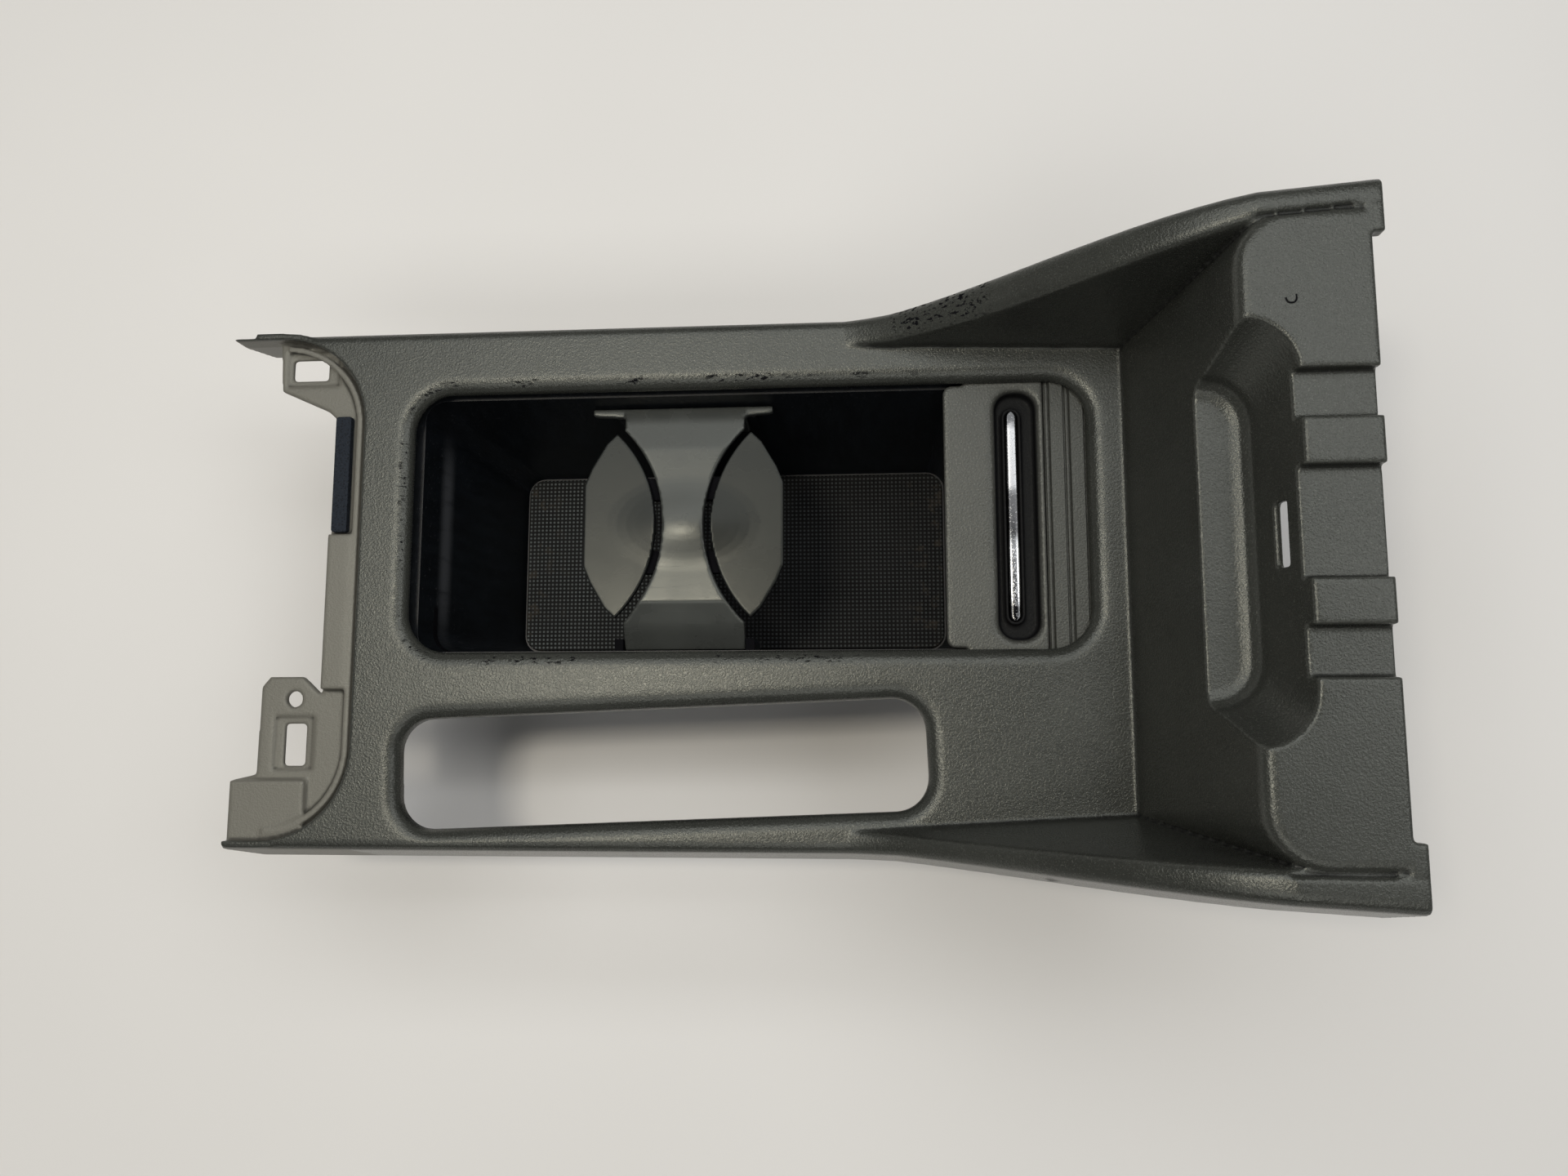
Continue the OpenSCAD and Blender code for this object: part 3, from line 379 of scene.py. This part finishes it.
def rubber_mat(settings):
    """Soft rubber with a square grid of small raised dots and brown dirt at both ends, made lighter
    towards its front end by painted light.
    """
    s = Shade("rubber_mat")
    turn = math.pi / settings.dot_pitch
    across = (s.x * turn).sine().size()
    along = (s.y * turn).sine().size()
    dots = (across * along).ramp(0.50, 0.85)
    stain = s.noise(0.006, 4.0, 0.65).ramp(0.52, 0.66)
    ends = (s.x.ramp(-0.075, -0.096) + s.x.ramp(0.050, 0.066)).low(1.0)
    # Painted light: the mat is lighter towards its front end, at -x
    lit_front_end = s.x.ramp(-0.01, -0.07)
    cloud = s.noise(0.02, 3.0, 0.6).ramp(0.3, 0.7, 0.65, 1.0)
    colour = s.mix(s.mix(tint(settings.mat, 0.08), tint(settings.mat, 0.6), lit_front_end),
                   s.mix(tint(settings.mat, 5.0), tint(settings.mat, 13.0), lit_front_end), dots * cloud)
    colour = s.mix(colour, (0.050, 0.040, 0.028), stain * ends * 0.4)
    rough = 0.62 + s.noise(0.01, 3.0, 0.5) * 0.2 - dots * 0.12
    normal = s.bump(s.noise(0.0006, 2.0, 0.6), 0.00005)
    return s.finish(colour=colour, rough=rough, normal=normal, specular=0.22)


def satin_plastic(name, colour, skin, middle, reach, specular):
    """Smooth satin plastic with hair scratches and finger smears. What lies below the height skin
    and within reach of the line y = middle, in the shadow of the hinges, is matt black."""
    s = Shade(name)
    smear = s.noise(0.018, 4.0, 0.6)
    hair = s.noise(0.0012, 2.0, 0.6, stretch=(0.08, 1.0, 1.0)).ramp(0.64, 0.70)
    base = s.mix(tint(colour, 0.92), tint(colour, 1.10), smear.ramp(0.3, 0.7))
    base = s.mix(base, tint(colour, 1.7), hair * 0.12)
    under = s.z.ramp(skin, skin - 0.0008) * (s.y - middle).size().ramp(reach, reach - 0.002)
    rough = smear.ramp(0.25, 0.75, 0.24, 0.33) + hair * 0.05
    normal = s.bump(s.noise(0.0008, 2.0, 0.5) * 0.8 + smear * 0.2, 0.00001)
    return s.finish(under, colour=base, rough=rough, normal=normal,
                    specular=specular, specular_tint=WARM)


def grained_plastic(name, colour, grain, deep=None):
    """Stippled plastic of the handle and the slats; painted shade blackens it from the height deep down.
    """
    s = Shade(name)
    cell = s.cells(grain)
    broad = s.noise(0.03, 3.0, 0.5)
    speckle = s.noise(0.0006, 1.0, 0.5).ramp(0.60, 0.72)
    base = s.mix(tint(colour, 0.9), tint(colour, 1.12), broad.ramp(0.3, 0.7))
    base = s.mix(base, tint(colour, 2.6), speckle * 0.6)
    # Painted shade: a matt black layer darkens the handle below the height deep, in its recess
    recess_shade = s.z.ramp(deep, deep - 0.0018) * 0.9 if deep else None
    rough, normal = 0.32 + broad * 0.12, s.bump(cell, 0.00008)
    return s.finish(recess_shade, colour=base, rough=rough, normal=normal, specular=0.45, specular_tint=WARM)


def bright_metal(name, colour, low, high, grain):
    """Plated or drawn metal: lines along y, smears and small pits."""
    s = Shade(name)
    lines = s.noise(grain, 3.0, 0.6, stretch=(1.0, 0.06, 1.0))
    smear = s.noise(0.008, 3.0, 0.6)
    pits = s.noise(0.0007, 2.0, 0.5).ramp(0.68, 0.74)
    base = s.mix(tint(colour, 0.86), colour, lines.ramp(0.3, 0.7))
    base = s.mix(base, tint(colour, 0.35), pits * 0.5)
    rough = smear.ramp(0.3, 0.7, low, high) + pits * 0.2
    return s.finish(colour=base, rough=rough, metal=1.0, normal=s.bump(lines, 0.00001))


def plated_strip(settings):
    """Satin chrome of the handle's strip, with pits; its colour holds painted reflections in bands along
    y.
    """
    s = Shade("satin_chrome")
    low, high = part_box("handle_strip")
    along = (s.y - low.y) / (high.y - low.y) + s.noise(0.004, 3.0, 0.6) * 0.06
    pits = s.noise(0.0006, 3.0, 0.6).ramp(0.56, 0.66)
    # Painted reflections: dark in the middle, a bright band towards the low-y end and, in upper, a pale
    # band towards the high-y end
    bright_reflection = along.band(0.08, 0.18, 0.34, 0.46)
    upper = along.band(0.62, 0.68, 0.93, 0.99) * (s.x - high.x + 0.0006).ramp(0.0002, -0.0004)
    dark_reflection = s.mix(tint(settings.strip, 0.10), tint(settings.strip, 0.30), pits)
    base = s.mix(dark_reflection, tint(settings.strip, 0.52), upper)
    base = s.mix(base, s.mix(settings.strip, tint(settings.strip, 0.45), pits), bright_reflection)
    rough = 0.12 + upper * 0.14 + pits * 0.10
    return s.finish(colour=base, rough=rough, metal=1.0, normal=s.bump(pits, 0.00001))


def soft_foam(settings):
    """Dark closed-cell foam with open pores and lint."""
    s = Shade("foam")
    pores = s.cells(0.0008)
    lint = s.noise(0.0005, 2.0, 0.7).ramp(0.66, 0.72)
    base = s.mix(tint(settings.foam, 0.5), tint(settings.foam, 1.5), pores.ramp(0.1, 0.5))
    base = s.mix(base, (0.12, 0.12, 0.12), lint * 0.3)
    rough, normal = 0.85 + pores * 0.1, s.bump(pores, 0.0003)
    return s.finish(colour=base, rough=rough, normal=normal, specular=0.25)


def paper(settings):
    """Matt paper. Far from the lamps, camera and gloss see it as a pale ground that needs no light."""
    s = Shade("floor_paper")
    wave = s.noise(0.25, 2.0, 0.5)
    base = s.mix(tint(settings.floor, 0.985), tint(settings.floor, 1.01), wave.ramp(0.3, 0.7))
    camera, gloss, glass = s.seen()
    far = s.x.reach(s.y).ramp(0.62, 1.15) * camera.high(gloss).high(glass)
    pale = s.node("ShaderNodeEmission", None, {0: (*tint(settings.floor, settings.far), 1.0)})
    return s.finish(far, pale, colour=base, rough=0.9, specular=0.1)


def sky(settings):
    """Dim light from all around. The camera sees it as pale as the floor, and so do gloss and glass
    near the horizon."""
    s = Shade("sky", bpy.data.worlds.new("sky"))
    camera, gloss, glass = s.seen()
    direction = s.node("ShaderNodeTexCoord", out="Generated")
    up = s.node("ShaderNodeSeparateXYZ", None, [direction], out=2)
    share = camera.high(gloss.high(glass) * up.ramp(0.22, 0.08))
    dim, pale = tint((0.97, 0.985, 1.0), settings.sky), tint(settings.floor, settings.far)
    back = s.node("ShaderNodeBackground", None, [s.mix(dim, pale, share)])
    s.tree.links.new(back.socket, s.tree.nodes.new("ShaderNodeOutputWorld").inputs[0])
    return s.owner


# ---------------------------------------------------------------- meshes


def new_piece(name, points, faces, material, smooth=True):
    """A mesh object at the origin from arrays of points and faces."""
    mesh = bpy.data.meshes.new(name)
    mesh.from_pydata(np.asarray(points, float).tolist(), [], [list(map(int, f)) for f in faces])
    mesh.validate()
    mesh.update()
    if smooth:
        mesh.shade_smooth()
    mesh.materials.append(material)
    obj = bpy.data.objects.new(name, mesh)
    bpy.context.scene.collection.objects.link(obj)
    return obj


def tube_faces(rows, cols):
    """Quads between rows of cols points, where the last point of a row is joined to the first."""
    i, j = np.meshgrid(np.arange(rows - 1), np.arange(cols), indexing="ij")
    a, b = i * cols + j, i * cols + (j + 1) % cols
    return np.stack([a, b, b + cols, a + cols], -1).reshape(-1, 4)


def paint(node, material):
    """Puts a material on a CAD node."""
    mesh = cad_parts[node].data
    mesh.materials.clear()
    mesh.materials.append(material)
    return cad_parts[node]


def mould(node, material, voxel, rounds, keep):
    """Rounds a CAD node's edges as a mould does: a fine cell mesh, smoothed, then thinned."""
    obj = paint(node, material)
    cells = obj.modifiers.new("Cells", "REMESH")
    cells.mode = "VOXEL"
    cells.voxel_size = voxel
    cells.use_smooth_shade = True
    soften = obj.modifiers.new("Soften", "SMOOTH")
    soften.factor, soften.iterations = 0.5, rounds
    thin = obj.modifiers.new("Thin", "DECIMATE")
    thin.ratio = keep


def crisp(node, material, width, segments=2, angle=30):
    """Bevels a CAD node's edges that are sharper than angle degrees."""
    obj = paint(node, material)
    weld = obj.modifiers.new("Weld", "WELD")
    weld.merge_threshold = 1e-6
    bevel = obj.modifiers.new("Edges", "BEVEL")
    bevel.width, bevel.segments = width, segments
    bevel.limit_method, bevel.angle_limit = "ANGLE", math.radians(angle)


def rounded_reach(v, half, r, full):
    """Half width of a rounded rectangle at v from its middle: full between the corners, and in a
    corner band full - r + sqrt(r^2 - d^2), where d is the depth into the band."""
    d = np.clip(np.abs(v) - (half - r), 0, r)
    return full - r + np.sqrt(np.maximum(r * r - d * d, 0))


def lofted_rows(name, points, material):
    """A closed solid from rows of closed profiles, with a flat cap at the first and the last row."""
    rows, cols = points.shape[:2]
    faces = [list(f) for f in tube_faces(rows, cols)]
    faces += [list(range(cols))[::-1], list(range((rows - 1) * cols, rows * cols))]
    obj = new_piece(name, points.reshape(-1, 3), faces, material)
    sheet = bmesh.new()
    sheet.from_mesh(obj.data)
    bmesh.ops.remove_doubles(sheet, verts=sheet.verts, dist=1e-7)
    bmesh.ops.recalc_face_normals(sheet, faces=sheet.faces)
    sheet.to_mesh(obj.data)
    sheet.free()
    return obj


def dotted_mat(settings, material):
    """The mat: rows along x over the rounded outline of its CAD solid. At e metres from the outline
    the top's height is z1 - dot + dot f max(0, |sin(pi x / p) sin(pi y / p)| - base) / (1 - base)
    - lip (1 - e / lip)^2, where f goes from 0 at e = plain to 1 at e = plain + fade, and the last
    term is 0 from e = lip on."""
    low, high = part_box("floor_mat")
    mid, half = (low + high) / 2, (high - low) / 2
    dot, base, corner, step = 0.00035, 0.25, 0.0062, 0.0004
    lip, plain, fade = 0.0004, 0.0022, 0.0008
    x = np.linspace(low.x, high.x, int((high.x - low.x) / step))
    across = np.linspace(-1, 1, int((high.y - low.y) / step))
    reach = rounded_reach(x - mid.x, half.x, corner, half.y)
    y = mid.y + across[None, :] * reach[:, None]
    xx = np.repeat(x[:, None], len(across), 1)
    turn = math.pi / settings.dot_pitch
    wave = np.abs(np.sin(turn * xx) * np.sin(turn * y))
    side = (1 - np.abs(across))[None, :] * reach[:, None]
    edge = np.minimum.reduce([xx - low.x, high.x - xx, side])
    raised = np.clip((edge - plain) / fade, 0, 1) * np.clip(wave - base, 0, 1) / (1 - base)
    top = high.z - dot + dot * raised - lip * (1 - np.clip(edge / lip, 0, 1)) ** 2
    upper = np.stack([xx, y, top], -1)
    lower = upper[:, [-1, 0]].copy()
    lower[..., 2] = low.z
    return lofted_rows("dotted_mat", np.concatenate([upper, lower], 1), material)


def crowned_strip(material):
    """The bright strip: a profile carried along y between the CAD solid's lowest height z0 and its
    height h above that; its half width w follows the round ends. For c = cos a and s = sin a, with
    a from 0 to 180 degrees, the profile is (w sign(c) |c|^0.5, z0 + h s^0.15 - crown |c|). Its two
    end points, where s = 0, stay at z0."""
    low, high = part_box("handle_strip")
    mid, half = (low + high) / 2, (high - low) / 2
    crown, squareness = 0.0002, 0.15
    turn = np.sin(np.linspace(0, math.pi / 2, 20))
    straight = half.y - half.x
    ends = straight + half.x * turn
    y = np.concatenate([-ends[::-1], np.linspace(-straight, straight, 60)[1:-1], ends])
    width = rounded_reach(y, half.y, half.x, half.x)
    a = np.linspace(0, math.pi, 25)
    c, s = np.cos(a), np.abs(np.sin(a))
    across = np.sign(c) * np.abs(c) ** 0.5
    rise = low.z + (high.z - low.z) * s ** squareness - crown * across ** 2 * (s > 0.01)
    x = mid.x + width[:, None] * across[None, :]
    yy = np.repeat((mid.y + y)[:, None], len(a), 1)
    zz = np.repeat(rise[None, :], len(y), 0)
    return lofted_rows("bright_strip", np.stack([x, yy, zz], -1), material)


# ---------------------------------------------------------------- operators


class FINISH_OT_panel(bpy.types.Operator):
    """Round the moulded panel's edges and give it its grain, flange and worn rims."""

    bl_idname = "finish.panel"
    bl_label = "Moulded panel"

    def execute(self, context):
        settings = context.scene.cup_panel
        mould("console_panel", panel_plastic(settings), settings.voxel, settings.rounds, keep=0.18)
        steel = context.scene.cup_shutter.steel
        clip_steel = bright_metal("clip_steel", steel, low=0.3, high=0.5, grain=0.0006)
        crisp("panel_clips", clip_steel, width=0.0001)
        return {"FINISHED"}


class FINISH_OT_box(bpy.types.Operator):
    """Dress the cup box, the cover of the shutter's track, and their screws."""

    bl_idname = "finish.box"
    bl_label = "Cup box"

    def execute(self, context):
        settings = context.scene.cup_holder
        black = black_plastic(settings)
        crisp("cup_box", black, width=0.0006)
        crisp("track_cover", black, width=0.0006)
        steel = context.scene.cup_shutter.steel
        screw_steel = bright_metal("screw_steel", steel, low=0.25, high=0.45, grain=0.0005)
        crisp("box_screws", screw_steel, width=0.0002)
        rubber = dotted_mat(settings, rubber_mat(settings))
        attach(rubber, "console")
        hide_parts("floor_mat")
        crisp("foam_strip", soft_foam(settings), width=0.0008, segments=3)
        return {"FINISHED"}


class FINISH_OT_divider(bpy.types.Operator):
    """Dress the divider with its dome, the two sprung flaps, their pins and springs."""

    bl_idname = "finish.divider"
    bl_label = "Divider and flaps"

    def execute(self, context):
        settings = context.scene.cup_holder
        low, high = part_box("flap_front")
        skin, middle = DECK - 0.0144, (low.y + high.y) / 2  # underside of the flaps' tops, hinge line
        bridge = satin_plastic("bridge_plastic", settings.bridge, skin, middle,
                               reach=0.026, specular=0.42)
        mould("divider_bridge", bridge, voxel=0.00045, rounds=6, keep=0.6)
        flap = satin_plastic("flap_plastic", settings.flap, skin, middle,
                             reach=0.10, specular=0.22)
        for node in ("flap_front", "flap_rear"):
            mould(node, flap, voxel=0.00035, rounds=4, keep=0.7)
        dark_steel = tint(context.scene.cup_shutter.steel, 0.22)
        steel = bright_metal("spring_steel", dark_steel, low=0.4, high=0.6, grain=0.0004)
        crisp("flap_pins", steel, width=0.0002)
        for node in ("spring_front", "spring_rear"):
            paint(node, steel)
        return {"FINISHED"}


class FINISH_OT_shutter(bpy.types.Operator):
    """Dress the shutter's handle, bright strip and slats."""

    bl_idname = "finish.shutter"
    bl_label = "Roller shutter"

    def execute(self, context):
        settings = context.scene.cup_shutter
        grain = context.scene.cup_panel.grain
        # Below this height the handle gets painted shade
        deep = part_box("shutter_handle")[1].z - 0.0003
        plastic = grained_plastic("handle_plastic", settings.handle, grain, deep)
        mould("shutter_handle", plastic, voxel=0.00055, rounds=9, keep=0.8)
        strip = crowned_strip(plated_strip(settings))
        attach(strip, "shutter_door")
        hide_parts("handle_strip")
        slat = grained_plastic("slat_plastic", settings.slat, grain)
        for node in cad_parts:
            if node.endswith("slats") or node.startswith("bend_slat"):
                crisp(node, slat, width=0.0003, segments=1)
        return {"FINISHED"}


class FINISH_OT_stage(bpy.types.Operator):
    """Add the paper floor, the soft lamps and the camera at the photograph's place."""

    bl_idname = "finish.stage"
    bl_label = "Stage"

    def execute(self, context):
        settings = context.scene.cup_stage
        scene = context.scene
        signs = ((-1, -1), (1, -1), (1, 1), (-1, 1))
        corners = [(x * FLOOR_HALF, y * FLOOR_HALF, 0) for x, y in signs]
        floor = new_piece("floor", corners, [(0, 1, 2, 3)], paper(settings), smooth=False)
        scene.world = sky(settings)
        for name, place, size, share, colour in LAMPS:
            self.lamp(name, place, size, settings.lamp * share, colour)
        camera_data = bpy.data.cameras.new("photo_camera")
        camera_data.sensor_width, camera_data.sensor_fit = 36.0, "HORIZONTAL"
        camera_data.lens, camera_data.clip_start = settings.lens, 0.01
        camera = bpy.data.objects.new("photo_camera", camera_data)
        scene.collection.objects.link(camera)
        camera.matrix_world = Matrix.Translation(settings.eye) @ self.turned().to_4x4()
        scene.camera = camera
        scene.view_settings.view_transform = "Standard"
        return {"FINISHED"}

    @staticmethod
    def turned():
        """Camera axes from the plumb point's place in the picture; world x stays level in it."""
        down = Vector(PLUMB).normalized()
        ex = Vector((1.0, 0.0, 0.0))
        ex = (ex - ex.dot(down) * down).normalized()
        ez = -down
        ey = ez.cross(ex)
        axes = Matrix((ex, ey, ez))
        right, up, back = (axes @ Vector(v) for v in ((1, 0, 0), (0, -1, 0), (0, 0, -1)))
        return Matrix((right, up, back)).transposed()

    @staticmethod
    def lamp(name, place, size, power, colour):
        """A flat lamp that faces straight down; power is for each square metre."""
        data = bpy.data.lights.new(name, "AREA")
        data.shape, data.size, data.size_y = "RECTANGLE", size[0], size[1]
        data.energy, data.color = power * size[0] * size[1], colour
        lamp = bpy.data.objects.new(name, data)
        bpy.context.scene.collection.objects.link(lamp)
        lamp.location = (*place, LAMP_HEIGHT)


class FINISH_PT_panel(bpy.types.Panel):
    """Lists the settings and the steps that make the cup holder."""

    bl_label = "Cup holder"
    bl_idname = "FINISH_PT_panel"
    bl_space_type = "VIEW_3D"
    bl_region_type = "UI"
    bl_category = "Cup Holder"

    def draw(self, context):
        column = self.layout.column()
        for name in SETTINGS:
            group = getattr(context.scene, name)
            column.label(text=name.replace("_", " "))
            for key in group.__annotations__:
                column.prop(group, key)
        for step in STEPS:
            column.operator(step.bl_idname)


SETTINGS = {"cup_panel": PanelSettings, "cup_holder": CupSettings, "cup_shutter": ShutterSettings,
            "cup_stage": StageSettings}
STEPS = (FINISH_OT_panel, FINISH_OT_box, FINISH_OT_divider, FINISH_OT_shutter, FINISH_OT_stage)


def register():
    for group in SETTINGS.values():
        bpy.utils.register_class(group)
    for step in STEPS:
        bpy.utils.register_class(step)
    bpy.utils.register_class(FINISH_PT_panel)
    for name, group in SETTINGS.items():
        setattr(bpy.types.Scene, name, PointerProperty(type=group))


def unregister():
    for name in SETTINGS:
        delattr(bpy.types.Scene, name)
    bpy.utils.unregister_class(FINISH_PT_panel)
    for step in reversed(STEPS):
        bpy.utils.unregister_class(step)
    for group in reversed(list(SETTINGS.values())):
        bpy.utils.unregister_class(group)


def main():
    """Runs every step in order."""
    register()
    for step in STEPS:
        name, call = step.bl_idname.split(".")
        getattr(getattr(bpy.ops, name), call)()


if __name__ == "__main__":
    main()
